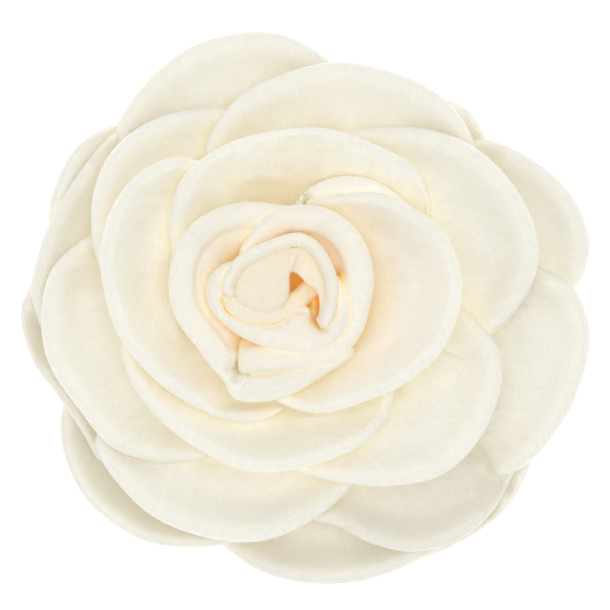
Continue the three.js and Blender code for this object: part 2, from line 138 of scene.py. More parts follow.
# Petals from the bud outwards: each lies under those before it. Lengths are in mm.
# rim: points of the folded edge. crest: the edge's height at its start, middle and end.
# lip: width of the part that rolls over. drop: how far it turns down. cup: 0 lies open, 1 stands up.
# root: radius and height where it is sewn. band: width of a standing petal's top. wall: depth below it.
# skirt: radius and height of a foot gathered round the petals below. inside: the bud's inner edge.
# reach, steep: how close to the earlier petals it may rise. lit: its painted shade is never deeper than this.
# warm: painted warm light inside the bud. glow: painted glow for light let through the cloth.
# shadow: how grey its painted shadow is. seed: its unevenness.
petals = [
    dict(name="bud_petal", crest=(41.4, 42, 41.4), lip=(0.7, 0.8, 0.8), band=(1.3, 1.5, 1.7),
         drop=1.5, cup=0.9, root=(3.2, 33), warm=1.0, glow=0.3, seed=1,
         rim=[(-13, 1.5), (-14, 3.6), (-13, 6.4), (-11.2, 8.6), (-7.4, 10.7), (-2, 12.4), (1.2, 11.4),
              (3.6, 8.4), (5, 4.4), (4.8, 0.6), (3.8, -2.6), (2.5, -3.4)],
         inside=[(-12, 1.1), (-10.6, 0.1), (-8.4, -0.6), (-5.6, -0.6), (-3.3, 1.6), (-3, 5.9), (-1.6, 6.2),
                 (0.3, 4.4), (2, 3), (2.6, 1), (2.5, -1), (1.8, -2.2)]),
    dict(name="bud_wrap", crest=(39.4, 40.8, 39.2), lip=(1.1, 2.9, 1.2), band=(2.3, 6.8, 3.6),
         drop=2.6, cup=0.9, wall=1.6, root=(0.8, 33), glow=0.9, warm=0.6, seed=2,
         rim=[(-11.9, 8), (-14.8, 6.6), (-16.6, 4.2), (-16.6, 1.2), (-14.8, -1.6), (-10.9, -4.6), (-7, -6.2),
              (-2, -7.2), (1.5, -7.4), (4.4, -6.2), (6.9, -3.6), (7.6, -0.8), (6.6, 2.2), (5.5, 5.6)]),
    dict(name="ring_right", crest=(38.3, 39.8, 37.6), lip=(1.3, 1.9, 1.8), band=(2.8, 4.1, 3.9),
         drop=2.6, cup=0.9, wall=1.8, root=(0.4, 29), skirt=(6.8, 19.5), glow=0.8, warm=0.5, seed=3,
         rim=[(-11.6, 8.4), (-9.8, 12), (-7, 15.2), (-3.8, 17), (0, 17.3), (3.8, 16.6), (7.2, 14.5),
              (9.6, 11.4), (11, 7.4), (11.2, 3.6), (10.3, -0.8), (9.3, -4), (6.9, -7.2), (3.6, -9.3),
              (0, -10.2), (-4, -10.6), (-9, -11), (-11.8, -11)]),
    dict(name="ring_left", crest=(36.5, 38.3, 36.5), lip=(1.5, 1.7, 1.6), band=(3.4, 3.5, 3.4),
         drop=2.6, cup=0.8, wall=1.3, root=(4.2, 28), skirt=(7.3, 19), glow=0.55, warm=0.4, seed=4,
         rim=[(-1, 16.5), (-4.2, 17.3), (-9, 17.9), (-13.5, 17.4), (-17.8, 15.5), (-21, 12.4), (-22.8, 8.4),
              (-23.4, 4.2), (-22.8, 0), (-21.2, -3.2), (-18.7, -6.4), (-16.2, -9.8), (-13.6, -12.8),
              (-12.7, -15), (-11, -15.8), (-9, -15.9), (-5, -15.4), (-0.6, -13.5), (5, -10), (8.6, -7.8)]),
    dict(name="inner_right", crest=(32.5, 35.8, 32), lip=(1.2, 1.9, 1.2),
         drop=1.8, cup=0.35, root=(7.4, 20.5), seed=5,
         rim=[(0, 18.5), (6, 19.5), (13, 19.5), (19.5, 16.5), (24, 12.5), (26.5, 6.5), (26.5, 0.5),
              (23.5, -7), (17.5, -12.5), (10, -16), (2, -18), (-5.5, -16)]),
    dict(name="inner_tuck", crest=(30.8, 32.8, 29.8), lip=(2.4, 4.2, 2.4),
         drop=1.4, cup=0, root=(7.8, 19.8), steep=True, lit=0.75, glow=2.2, seed=6,
         reach=0.3, rim=[(-2, 17.5), (1, 20.6), (5.5, 22.4), (10.5, 22.2), (15, 20), (20, 15.5)]),
    dict(name="inner_top", crest=(30.5, 33.3, 28.5), lip=(1.9, 2.9, 1.9),
         drop=2.2, cup=0.45, root=(8.3, 19.2), seed=7,
         rim=[(-22, 7), (-23.5, 13), (-23, 18.5), (-20, 24), (-13, 28.5), (-5, 30.5), (2, 31), (7, 30),
              (13.5, 27.5), (18.5, 24.5), (21, 19.5), (21, 14.5)]),
    dict(name="inner_left", crest=(27.5, 31.8, 29), lip=(1.4, 2.1, 1.4),
         drop=1.9, cup=0.35, root=(8.8, 18.6), seed=8,
         rim=[(-15.5, 24), (-22, 26), (-28, 24), (-33, 18.5), (-35.5, 11), (-35, 3.5), (-32.5, -4.5),
              (-26.5, -12), (-18.5, -17.5), (-10.5, -20), (-4, -17.5)]),
    dict(name="inner_bottom", crest=(26, 29.8, 27), lip=(1.3, 2, 1.3),
         drop=1.8, cup=0.3, root=(9.4, 18), seed=9,
         rim=[(-31, -4.5), (-32, -8), (-29.5, -14.5), (-23, -21.5), (-14, -27), (-7, -28.5), (2, -27),
              (10, -23.5), (14, -19), (15.5, -13.5)]),
    dict(name="middle_lower_right", crest=(25, 26.8, 23), lip=(1.7, 2.6, 1.7),
         drop=2.0, cup=0.15, root=(10.5, 17.6), seed=10,
         rim=[(25.5, 0.5), (30, -3), (33.5, -7.5), (34, -14), (30.5, -22.5), (24, -29), (15, -31),
              (6.5, -30.5), (-2.5, -28.5)]),
    dict(name="middle_right", crest=(25, 26.8, 22), lip=(1.8, 2.7, 1.8),
         drop=2.0, cup=0.15, root=(10.9, 17.2), seed=11,
         rim=[(3, 29), (8.5, 31), (18, 31.5), (27.5, 29), (34.5, 23.5), (39.5, 15.5), (40.5, 7.5),
              (37, 0), (30.5, -6.5)]),
    dict(name="middle_top", crest=(23.8, 24.8, 20), lip=(1.8, 2.7, 1.8),
         drop=2.0, cup=0.15, root=(11.3, 16.8), seed=12,
         rim=[(-17.5, 24.5), (-17, 29.5), (-12, 36.5), (-3.5, 41), (5.5, 43), (14.5, 41.5), (22.5, 38),
              (27.5, 33), (30.5, 26.5)]),
    dict(name="middle_upper_left", crest=(20, 23.3, 22.3), lip=(1.6, 2.5, 1.6),
         drop=2.0, cup=0.15, root=(11.7, 16.4), seed=13,
         rim=[(-12.5, 34), (-17.5, 35), (-26.5, 33), (-33.5, 28), (-37, 21), (-37.5, 13), (-36, 6)]),
    dict(name="middle_left", crest=(17.5, 22.8, 22.3), lip=(1.8, 2.7, 1.8),
         drop=2.0, cup=0.15, root=(12.1, 15.9), seed=14,
         rim=[(-35.5, 13.5), (-40, 11.5), (-45, 6), (-46.5, -2), (-45, -10), (-40, -17.5), (-34, -24.5),
              (-25.5, -27), (-17.5, -26.5)]),
    dict(name="middle_bottom", crest=(17.5, 21.3, 19), lip=(1.8, 2.7, 1.8),
         drop=2.0, cup=0.15, root=(12.5, 15.4), seed=15,
         rim=[(-35.5, -20.5), (-37, -24.5), (-33.5, -30.5), (-26.5, -37), (-17, -40.5), (-8, -41),
              (0, -38), (6.5, -33), (10, -28.5)]),
    dict(name="outer_right_low", crest=(18, 19.8, 17), lip=(1.6, 2.5, 1.6),
         drop=1.8, cup=0.1, root=(14.2, 15), seed=16,
         rim=[(36, 8.5), (41, 7), (46.5, 4), (49.5, -1), (50, -7.5), (47.5, -16), (43, -23.5),
              (38.5, -28), (34, -30)]),
    dict(name="outer_right_up", crest=(17, 18.8, 15), lip=(1.6, 2.5, 1.6),
         drop=1.8, cup=0.1, root=(14.4, 14.8), seed=17,
         rim=[(28, 28), (32, 29.5), (39.5, 26.5), (46.5, 20.5), (50, 13), (49.5, 7), (46.5, 1.5)]),
    dict(name="outer_upper_right", crest=(16, 17, 15), lip=(1.1, 1.6, 1.1),
         drop=1.4, cup=0.1, root=(14.6, 14.6), seed=18,
         rim=[(17, 40), (23.5, 37.5), (29, 34.5), (32, 29.5), (33, 25)]),
    dict(name="outer_top", crest=(17, 18.8, 16.5), lip=(1.7, 2.6, 1.7),
         drop=1.8, cup=0.1, root=(14.8, 14.4), seed=19,
         rim=[(-32, 28.5), (-33, 32.5), (-28.5, 39.5), (-20.5, 46), (-11.5, 48.5), (-3.5, 48), (4, 43.5),
              (10, 37)]),
    dict(name="outer_lower_right", crest=(16.5, 17.8, 14.5), lip=(1.1, 1.7, 1.1),
         drop=1.4, cup=0.2, root=(15, 14.2), shadow=0.7, seed=20,
         rim=[(-1, -37), (5.5, -38.5), (11.5, -41.5), (19, -43), (27, -41), (33, -36), (37, -29),
              (39.5, -22.5)]),
    dict(name="outer_left", crest=(14.7, 17.3, 16), lip=(1.1, 1.7, 1.1),
         drop=1.4, cup=0.2, root=(15.2, 14), shadow=0.3, seed=21,
         rim=[(-31, 32.5), (-35.5, 29.5), (-41, 22.5), (-45.5, 14.5), (-48, 7), (-48.5, 2), (-46.5, -4.5)]),
    dict(name="back_upper_left", crest=(13, 15, 13), lip=(0.8, 1.3, 0.8),
         drop=0.6, cup=0.5, root=(16, 13.6), seed=22,
         rim=[(-29.5, 34), (-34.5, 32.5), (-40.5, 28.5), (-44, 22.5), (-45.5, 16), (-44, 9.5)]),
    dict(name="back_left", crest=(13, 15.5, 15.5), lip=(0.8, 1.3, 0.8),
         drop=0.6, cup=0.5, root=(16, 13.5), shadow=0.3, seed=23,
         rim=[(-45.5, 8.5), (-48.5, 4.5), (-50.5, -1.5), (-48.5, -9), (-43.5, -16), (-39.5, -22),
              (-36.5, -27.5)]),
    dict(name="back_lower_left", crest=(11.2, 13.8, 13), lip=(0.8, 1.3, 0.8),
         drop=0.6, cup=0.5, root=(16, 13.4), shadow=0.1, seed=24,
         rim=[(-39.5, -13.5), (-43, -17.5), (-43, -25.5), (-38.5, -34.5), (-29.5, -41), (-20.5, -42.5),
              (-13, -41.5), (-8, -39)]),
    dict(name="back_bottom", crest=(11, 13, 11.5), lip=(1.1, 1.8, 1.1),
         drop=0.6, cup=0.5, root=(16, 13.3), shadow=0.3, seed=25,
         rim=[(-19.5, -39), (-15, -42), (-7.5, -47), (2, -49), (12, -48), (21.5, -44), (28, -40)]),
    dict(name="back_lower_right", crest=(10.5, 13, 11.5), lip=(0.8, 1.3, 0.8),
         drop=0.6, cup=0.5, root=(16, 13.2), seed=26,
         rim=[(16.5, -45), (22.5, -44), (30.5, -40), (36.5, -34.5), (40, -27), (41, -21)]),
]

petalGrid = {"around": 110, "along": 60, "fold": 8, "endBunching": 0.7, "stepsPerPoint": 40,
             "rounding": 4}
cloth = {"body": 0.5, "fold": 1.1, "cupFold": 1.3, "foldReach": 0.10,  # thickness and the fold's swell
         "gap": (0.5, 0.2), "press": 0.8,  # room left under earlier petals, and how softly it is kept
         "endRound": 2.0, "endThickness": 0.12, "edgeBow": 2.4, "shoulder": 0.6, "wallLean": 1.2,
         "wallTuck": (0.25, 1.0), "groove": (1.2, 3.6), "grooveWidth": (3.0, 4.6), "openBelow": 0.4,
         "lipOfBand": 0.62, "bandMost": 6, "bandLeast": 1.0, "bandSpare": 0.1, "bandSmoothing": 6,
         "rootShare": 0.8}
rest = {"radius": 20.0, "height": 10.5, "fall": 0.45, "overhang": 10.0, "press": 0.6}  # the base under it
unevenness = {"height": 0.16, "size": 9.0, "fineHeight": 0.05, "fineSize": 3.5, "fineSeed": 50,
              "edgeFade": 1.15, "cupShare": 0.6}
canopyGrid = {"none": 60.0, "cell": 0.35, "half": 64.0, "reach": (1.05, 0.5), "slope": 0.75,
              "cupSlope": 3.0, "farthest": 5, "look": 0.2, "skirtBelow": 1.5}


def stationsAlong():  # 0 to 1 along the edge, closer together at both ends
    t = np.linspace(0, 1, petalGrid["around"])
    return t - petalGrid["endBunching"] * np.sin(math.tau * t) / math.tau


def curveThrough(points, t):  # a smooth curve through the points, at t from 0 to 1 over the point list
    p = np.array(points, float)
    p = np.vstack([2 * p[0] - p[1], p, 2 * p[-1] - p[-2]])
    spot = np.clip(t, 0, 1) * (len(p) - 3)
    k = np.minimum(spot.astype(int), len(p) - 4)
    f = (spot - k)[:, None]
    a, b, c, d = p[k], p[k + 1], p[k + 2], p[k + 3]
    return 0.5 * (2 * b + (c - a) * f + (2 * a - 5 * b + 4 * c - d) * f**2 + (3 * b - a - 3 * c + d) * f**3)


def smoothCurve(points, stations):  # the curve at even shares of its length, those shares and its length
    t = np.linspace(0, 1, petalGrid["stepsPerPoint"] * len(points))
    line = curveThrough(points, t)
    walked = np.r_[0, np.cumsum(np.linalg.norm(np.diff(line, axis=0), axis=1))]
    share = np.interp(stations * walked[-1], walked, t)
    return curveThrough(points, share), share, walked[-1]


def bow(values, u):  # start, middle and end values, eased between
    start, middle, end = values
    side = 2 * u - 1
    return middle + (np.where(side < 0, start, end) - middle) * np.abs(side) ** cloth["edgeBow"]


def cutCorners(rows, times):  # Chaikin's rounding, ends kept
    for _ in range(times):
        near = 0.75 * rows[:-1] + 0.25 * rows[1:]
        far = 0.25 * rows[:-1] + 0.75 * rows[1:]
        middle = np.empty((2 * len(near),) + near.shape[1:])
        middle[0::2], middle[1::2] = near, far
        rows = np.concatenate([rows[:1], middle, rows[-1:]])
    return rows


def resampleRows(rows, count):
    steps = np.linalg.norm(np.diff(rows, axis=0), axis=2).mean(1)
    walked = np.r_[0, np.cumsum(steps)]
    even = np.linspace(0, walked[-1], count)
    at = np.clip(np.searchsorted(walked, even, side="right") - 1, 0, len(rows) - 2)
    share = ((even - walked[at]) / (walked[at + 1] - walked[at]))[:, None, None]
    return rows[at] * (1 - share) + rows[at + 1] * share


def smoothAlong(values, times):
    for _ in range(times):
        padded = np.pad(values, 1, mode="edge")
        values = (padded[:-2] + 2 * padded[1:-1] + padded[2:]) / 4
    return values


def smoothGrid(values, times):
    for _ in range(times):
        for _ in range(2):
            padded = np.pad(values, ((1, 1), (0, 0)), mode="edge")
            values = ((padded[:-2] + 2 * padded[1:-1] + padded[2:]) / 4).T
    return values


def freeWidth(edge, inward, most):  # how far in from the edge the first earlier petal begins
    free = np.full(len(edge), float(most))
    for step in np.arange(most, 0, -canopyGrid["look"]):
        at = cellOf(edge + inward * step)
        free[np.isfinite(canopy[at[:, 0], at[:, 1]])] = step
    return free


openSection = np.array([(0, 0), (0.2, 0.4), (0.42, 0.66), (0.65, 0.84), (0.85, 0.95), (1, 1)])
cupFloor = np.array([(0, 0), (0.3, 0.12), (0.55, 0.5), (0.85, 0.92)])
lipSection = ((1.0, 0.0), (0.45, -0.05), (0.08, 0.3), (0.0, 1.0))  # share of the lip, share of the drop
budPillow = {"rows": [(0.0, -1.9, -2.3), (0.03, -1.2, -2.0), (0.2, -0.75, -1.9), (0.45, -0.5, -1.8),
                      (0.7, -0.75, -1.8), (0.88, -1.5, -1.9), (0.96, -1.5, -1.7)],  # share, round, flat
             "facetFrom": 0.47, "facetOver": 0.09, "ridge": 0.7, "ridgeAt": 0.46, "ridgeWidth": 0.03,
             "wall": 4.5, "foot": 3.6, "shallowBy": 1.9, "shallowFrom": 0.84, "shallowOver": 0.14}


def petalMiddle(p):  # the sheet's middle surface: rows from the root over the crest to the edge
    u = stationsAlong()
    edge, share, rimLength = smoothCurve(p["rim"], u)
    along = np.gradient(edge, axis=0)
    along /= np.linalg.norm(along, axis=1)[:, None]
    inward = np.stack([-along[:, 1], along[:, 0]], 1)
    if ((roseCentre - edge) * inward).sum() < 0:
        inward = -inward
    crestHeight = bow(p["crest"], u)
    lip = bow(p["lip"], u)
    if "band" in p:
        band = bow(p["band"], u)
        free = freeWidth(edge, inward, cloth["bandMost"]) - cloth["bandSpare"]
        band = smoothAlong(np.maximum(np.minimum(band, free), cloth["bandLeast"]), cloth["bandSmoothing"])
        lip = np.minimum(lip, cloth["lipOfBand"] * band)
    crest = edge + inward * lip[:, None]
    out = crest - roseCentre
    reach = np.linalg.norm(out, axis=1)
    sewnRadius, sewnHeight = p["root"]
    sewnAt = np.minimum(sewnRadius, cloth["rootShare"] * reach)[:, None]
    root = roseCentre + out / reach[:, None] * sewnAt
    rows = []
    if "inside" in p:
        shoulder = edge + inward * band[:, None]
        root = curveThrough(p["inside"], share)
        # the inner wall grows shallow where the petal ends
        lift = np.clip((share - budPillow["shallowFrom"]) / budPillow["shallowOver"], 0, 1)
        rows.append(np.c_[root, sewnHeight + (crestHeight - budPillow["foot"] - sewnHeight) * lift])
        rows.append(np.c_[root, crestHeight - budPillow["wall"] + budPillow["shallowBy"] * lift])
        facet = np.clip((share - budPillow["facetFrom"]) / budPillow["facetOver"], 0, 1)
        fromRidge = (share - budPillow["ridgeAt"]) / budPillow["ridgeWidth"]
        ridge = budPillow["ridge"] * np.exp(-(fromRidge**2))
        for rho, pillowAt, facetAt in budPillow["rows"]:
            height = crestHeight + pillowAt * (1 - facet) + facetAt * facet + ridge * math.sin(math.pi * rho)
            rows.append(np.c_[root + (shoulder - root) * rho, height])
        rows.append(np.c_[shoulder, crestHeight - cloth["shoulder"]])
    elif "band" in p:
        shoulder = edge + inward * band[:, None]
        foot = shoulder + inward * cloth["wallLean"]
        footHeight = crestHeight - cloth["shoulder"] - p["wall"]
        if "skirt" in p:  # the petal's foot, gathered round the stack of petals below
            radius, height = p["skirt"]
            rows.append(np.c_[roseCentre + out / reach[:, None] * radius, np.full(len(u), float(height))])
        for rho, zeta in cupFloor:
            rows.append(np.c_[root + (foot - root) * rho, sewnHeight + (footHeight - sewnHeight) * zeta])
        rows.append(np.c_[foot, footHeight])
        side, down = cloth["wallTuck"]
        rows.append(np.c_[shoulder + inward * side, crestHeight - cloth["shoulder"] - down])
        rows.append(np.c_[shoulder, crestHeight - cloth["shoulder"]])
    else:
        closed = min(p["cup"] / cloth["openBelow"], 1)
        low, high = cloth["grooveWidth"]
        groove = crest + inward * (low + (high - low) * closed)
        low, high = cloth["groove"]
        rise = crestHeight - (low + (high - low) * closed) - sewnHeight
        rows += [np.c_[root + (groove - root) * rho, sewnHeight + rise * zeta] for rho, zeta in openSection]
    for part, down in lipSection:
        rows.append(np.c_[edge + inward * (lip * part)[:, None], crestHeight - p["drop"] * down])
    rows = resampleRows(cutCorners(np.array(rows), petalGrid["rounding"]), petalGrid["along"])
    return rows, rimLength


def endRounding(rimLength):  # 1 in the middle of the edge, falling to 0 round its two ends
    u = stationsAlong()
    fromEnd = np.minimum(u, 1 - u) * rimLength
    near = np.clip(1 - fromEnd / cloth["endRound"], 0, 1)
    return np.sqrt(1 - near**2)


def gridNormals(grid):
    along = np.gradient(grid, axis=1)
    up = np.gradient(grid, axis=0)
    normal = np.cross(along, up)
    normal /= np.linalg.norm(normal, axis=2)[:, :, None] + 1e-12
    return normal if normal[:, :, 2].sum() > 0 else -normal


cells = int(2 * canopyGrid["half"] / canopyGrid["cell"]) + 1
canopy = np.full((cells, cells), np.inf)  # how low the petals so far hang over each spot


def cellOf(xy):
    at = np.rint((xy + canopyGrid["half"]) / canopyGrid["cell"]).astype(int)
    return np.clip(at, 0, cells - 1)


def refine(grid, times):
    for _ in range(times):
        dense = np.empty((2 * len(grid) - 1,) + grid.shape[1:])
        dense[0::2] = grid
        dense[1::2] = (grid[:-1] + grid[1:]) / 2
        grid = dense.transpose(1, 0, 2)
    return grid


def spreadCanopy(under):
    dense = refine(refine(under, 2), 2)
    at = cellOf(dense[:, :, :2])
    np.minimum.at(canopy, (at[:, :, 0], at[:, :, 1]), dense[:, :, 2])


def roomBelow(slope, reach):  # the canopy, widened by the reach and then rising like a cone away from it
    room = canopy.copy()
    cell = canopyGrid["cell"]
    sides = ((1, 0), (-1, 0), (0, 1), (0, -1), (1, 1), (1, -1), (-1, 1), (-1, -1))
    cone = [(slope, 2**k) for k in range(canopyGrid["farthest"], -1, -1)]  # long shifts first
    for climb, shift in [(0, 1)] * int(round(reach / cell)) + cone:
        best = room.copy()
        for di, dj in sides:
            moved = np.roll(room, (di * shift, dj * shift), (0, 1))
            np.minimum(best, moved + climb * cell * shift * math.hypot(di, dj), out=best)
        room = best
    room = np.minimum(room, canopyGrid["none"])
    for axis in (0, 1, 0, 1):
        room = (np.roll(room, 1, axis) + 2 * room + np.roll(room, -1, axis)) / 4
    return room


def softMin(a, b, rounding):
    h = np.clip(0.5 + 0.5 * (b - a) / rounding, 0, 1)
    return b * (1 - h) + a * h - rounding * h * (1 - h)


def sampleRoom(room, xy):
    g = (xy + canopyGrid["half"]) / canopyGrid["cell"]
    lo = np.clip(np.floor(g).astype(int), 0, cells - 2)
    f = g - lo
    i, j = lo[..., 0], lo[..., 1]
    fx, fy = f[..., 0], f[..., 1]
    return (room[i, j] * (1 - fx) * (1 - fy) + room[i + 1, j] * fx * (1 - fy)
            + room[i, j + 1] * (1 - fx) * fy + room[i + 1, j + 1] * fx * fy)


def ripple(xy, seed, size, count=7):  # soft, even unevenness from a few seeded waves
    rng = np.random.default_rng(seed)
    total = np.zeros(xy.shape[:-1])
    for _ in range(count):
        turn = rng.uniform(0, math.tau)
        wave = math.tau / (size * rng.uniform(0.7, 1.6))
        total += np.sin(wave * (xy[..., 0] * math.cos(turn) + xy[..., 1] * math.sin(turn))
                        + rng.uniform(0, math.tau))
    return total / math.sqrt(count)


def petalShell(p):
    middle, rimLength = petalMiddle(p)
    s = np.linspace(0, 1, len(middle))[:, None]
    fold = cloth["fold"] + (cloth["cupFold"] - cloth["fold"]) * p["cup"]
    thick = cloth["body"] + (fold - cloth["body"]) * np.exp(-(((1 - s) / cloth["foldReach"]) ** 2))
    ends = endRounding(rimLength)[None, :]
    thick = thick * np.maximum(ends, cloth["endThickness"])
    middle[:, :, 2] -= cloth["endRound"] * (1 - ends)
    at = middle[:, :, :2]
    soft = unevenness["height"] * ripple(at, p["seed"], unevenness["size"])
    fineSeed = p["seed"] + unevenness["fineSeed"]
    soft = soft + unevenness["fineHeight"] * ripple(at, fineSeed, unevenness["fineSize"])
    fade = np.sin(math.pi * np.clip(s * unevenness["edgeFade"], 0, 1))
    middle[:, :, 2] += soft * fade * (1 - p["cup"] * unevenness["cupShare"])
    standing = "band" in p
    slope = canopyGrid["cupSlope"] if standing or "steep" in p else canopyGrid["slope"]
    room = roomBelow(slope, p.get("reach", canopyGrid["reach"][standing]))
    limit = sampleRoom(room, middle[:, :, :2]) - thick / 2 - cloth["gap"][standing]
    middle[:, :, 2] = softMin(middle[:, :, 2], limit, cloth["press"])
    away = np.linalg.norm(middle[:, :, :2], axis=2)  # the cloth stays on the base and only hangs beyond it
    lowest = rest["height"] - rest["fall"] * np.clip(away - rest["radius"], 0, rest["overhang"])
    middle[:, :, 2] = -softMin(-middle[:, :, 2], -lowest, rest["press"])
    normal = gridNormals(middle)
    top = middle + normal * (thick / 2)[:, :, None]
    under = middle - normal * (thick / 2)[:, :, None]
    hanging = under.copy()  # a gathered foot is left out of what the next petals lie under
    foot = under[:, :, 2] < p["root"][1] - canopyGrid["skirtBelow"]
    hanging[:, :, 2] = np.where(foot, canopyGrid["none"], under[:, :, 2])
    spreadCanopy(hanging if "skirt" in p else under)
    outward = middle[-1] - middle[-2]
    outward /= np.linalg.norm(outward, axis=1)[:, None]
    foldRows = []
    for step in range(1, petalGrid["fold"]):
        turn = math.pi * step / petalGrid["fold"]
        way = math.cos(turn) * normal[-1] + math.sin(turn) * outward
        foldRows.append(middle[-1] + thick[-1][:, None] / 2 * way)
    rows = np.concatenate([top, np.array(foldRows), under[::-1]])
    return rows, middle, rimLength


# the bud's folded strip; warm and glow give painted warm light and painted glow, as in the petal table
budStrip = {"name": "bud_core", "warm": 0.7, "glow": 0.4, "width": 3.0, "sheet": 0.5, "evenTop": 30,
            "path": [(2.2, 4.9), (0.6, 3.2), (-1.4, 1.3), (-4.0, -0.5), (-6.9, -1.4), (-9.5, -1.3),
                     (-11.8, -0.1), (-13.1, 1.9), (-13.2, 4.2)],
            "tops": [36.6, 37.2, 38.5, 39.6, 40.3, 40.5, 40.3, 39.6, 38.4],
            "section": [(-1, 4.5), (-1, 2.3), (-0.97, 0.806), (-0.6, -0.05), (0, -0.15),
                        (0.6, -0.05), (0.97, 0.806), (1, 2.3), (1, 4.5)],  # share of half the width, depth
            "ripple": {"height": 0.12, "size": 3.5, "seed": 70}}


def bandShell(strip):  # a folded ribbon standing on its edges: up one side, over and down the other
    u = np.linspace(0, 1, petalGrid["around"])
    line, share, length = smoothCurve(strip["path"], u)
    along = np.gradient(line, axis=0)
    along /= np.linalg.norm(along, axis=1)[:, None]
    across = np.stack([-along[:, 1], along[:, 0]], 1)
    top = np.interp(share, np.linspace(0, 1, len(strip["tops"])), strip["tops"])
    top = smoothAlong(top, strip["evenTop"])
    half = strip["width"] / 2
    rows = [np.c_[line + across * half * side, top - down] for side, down in strip["section"]]
    middle = resampleRows(cutCorners(np.array(rows), petalGrid["rounding"]), petalGrid["along"])
    wave = strip["ripple"]
    middle[:, :, 2] += wave["height"] * ripple(middle[:, :, :2], wave["seed"], wave["size"])
    normal = gridNormals(middle)
    above = middle + normal * strip["sheet"] / 2
    below = middle - normal * strip["sheet"] / 2
    return np.concatenate([above, below[::-1]]), middle, length


def weaveCoordinates(rows, middle):  # mm along and across the threads, as if the petal were laid flat
    last = len(middle) - 1
    halfway = middle.shape[1] // 2
    out = middle[-1, halfway, :2] - roseCentre
    out /= np.linalg.norm(out)
    side = np.array([-out[1], out[0]])
    walked = np.cumsum(np.linalg.norm(np.diff(middle, axis=0), axis=2), axis=0)
    walked = np.vstack([np.zeros((1, middle.shape[1])), walked])
    fromEdge = walked - walked[-1]
    rimAdvance = (middle[-1, :, :2] - middle[-1, halfway, :2]) @ out
    sideways = (middle[:, :, :2] - middle[-1, halfway, :2]) @ side
    flat = np.stack([sideways, fromEdge + rimAdvance[None, :]], 2)
    foldRows = np.repeat(flat[last:last + 1], len(rows) - 2 * len(middle), axis=0)
    return np.concatenate([flat, foldRows, flat[::-1]])


def gridObject(name, rows, uv):
    high, wide = rows.shape[:2]
    index = np.arange(high * wide).reshape(high, wide)
    ring = np.roll(index, -1, axis=0)  # the last row of the underside meets the first of the top
    a, b = index[:, :-1].ravel(), index[:, 1:].ravel()
    c, d = ring[:, 1:].ravel(), ring[:, :-1].ravel()
    faces = np.stack([a, b, c, d], 1)
    half = high // 2
    ends = []
    for column, flip in ((0, False), (wide - 1, True)):
        for j in range(half):
            quad = [index[row, column] for row in (j, j + 1, high - 2 - j, high - 1 - j)]
            if len(set(quad)) < 4 or j + 1 > high - 2 - j:
                continue
            ends.append(quad if flip else quad[::-1])
    faces = faces.tolist() + ends
    mesh = bpy.data.meshes.new(name)
    mesh.from_pydata(((rows.reshape(-1, 3) + originShift) * mm).tolist(), [], faces)
    a, b, c, d = (rows.reshape(-1, 3)[np.array(faces)[:, k]] for k in range(4))
    if (np.cross(a, b) * c + np.cross(a, c) * d).sum() < 0:
        mesh.flip_normals()  # the faces look outward whichever way the edge runs
    mesh.update()
    corner = np.empty(len(mesh.loops), int)
    mesh.loops.foreach_get("vertex_index", corner)
    layer = mesh.uv_layers.new(name="weave")
    layer.data.foreach_set("uv", uv.reshape(-1, 2)[corner].ravel())
    mesh.polygons.foreach_set("use_smooth", [True] * len(mesh.polygons))
    obj = bpy.data.objects.new(name, mesh)
    bpy.context.scene.collection.objects.link(obj)
    return obj


# how open each spot is sets the satin's painted shade and painted glow; back: least openness of hidden
# undersides away from the heart
opennessProbe = {"directions": 12, "steps": (0.5, 1, 1.6, 2.4, 3.4, 4.6, 6), "smoothing": 2,
                 "warmRadius": 24.0, "fadeOver": 20.0, "outerFade": 0.7,  # the painted shade in the outer valleys is paler
                 "floor": 0.42, "floorFrom": 11.0, "floorOver": 6,  # painted shade outside the bud is never deeper than this
                 "heart": 5.0, "heartOver": 2, "heartBase": 28.0, "baseOver": 3, "back": 0.85}


def findOpenness(shells):  # how much of the sky each spot of the rose sees, from its height map
    heights = np.zeros((cells, cells))
    for rows in shells:
        dense = refine(refine(rows, 2), 2)
        at = cellOf(dense[:, :, :2])
        np.maximum.at(heights, (at[:, :, 0], at[:, :, 1]), dense[:, :, 2])
    result = []
    for rows in shells:
        seen = np.zeros(rows.shape[:2])
        for k in range(opennessProbe["directions"]):
            turn = math.tau * k / opennessProbe["directions"]
            steepest = np.zeros(rows.shape[:2])
            for step in opennessProbe["steps"]:
                spot = rows[:, :, :2] + step * np.array([math.cos(turn), math.sin(turn)])
                at = cellOf(spot)
                climb = (heights[at[:, :, 0], at[:, :, 1]] - rows[:, :, 2]) / step
                np.maximum(steepest, climb, out=steepest)
            seen += 1 / (1 + steepest**2)
        seen /= opennessProbe["directions"]
        away = np.linalg.norm(rows[:, :, :2] - roseCentre, axis=2)
        fade = np.clip((away - opennessProbe["warmRadius"]) / opennessProbe["fadeOver"], 0, 1)
        seen = 1 - (1 - seen) * (1 - opennessProbe["outerFade"] * fade * fade * (3 - 2 * fade))
        beside = (away - opennessProbe["heart"]) / opennessProbe["heartOver"]
        sunk = (opennessProbe["heartBase"] - rows[:, :, 2]) / opennessProbe["baseOver"]
        beyond = (away - opennessProbe["floorFrom"]) / opennessProbe["floorOver"]
        outside = np.clip(np.maximum(beyond, np.minimum(sunk, beside)), 0, 1)
        seen = np.maximum(seen, opennessProbe["floor"] * outside)
        seen = smoothGrid(seen, opennessProbe["smoothing"])
        under = np.arange(len(rows)) >= (len(rows) + petalGrid["fold"]) // 2
        backOpen = opennessProbe["back"] * np.clip(beside, 0, 1)
        seen[under] = np.maximum(seen[under], backOpen[under])
        result.append(seen)
    return result


def newMaterial(name):
    material = bpy.data.materials.new(name)
    material.use_nodes = True
    return material, material.node_tree, material.node_tree.nodes["Principled BSDF"]


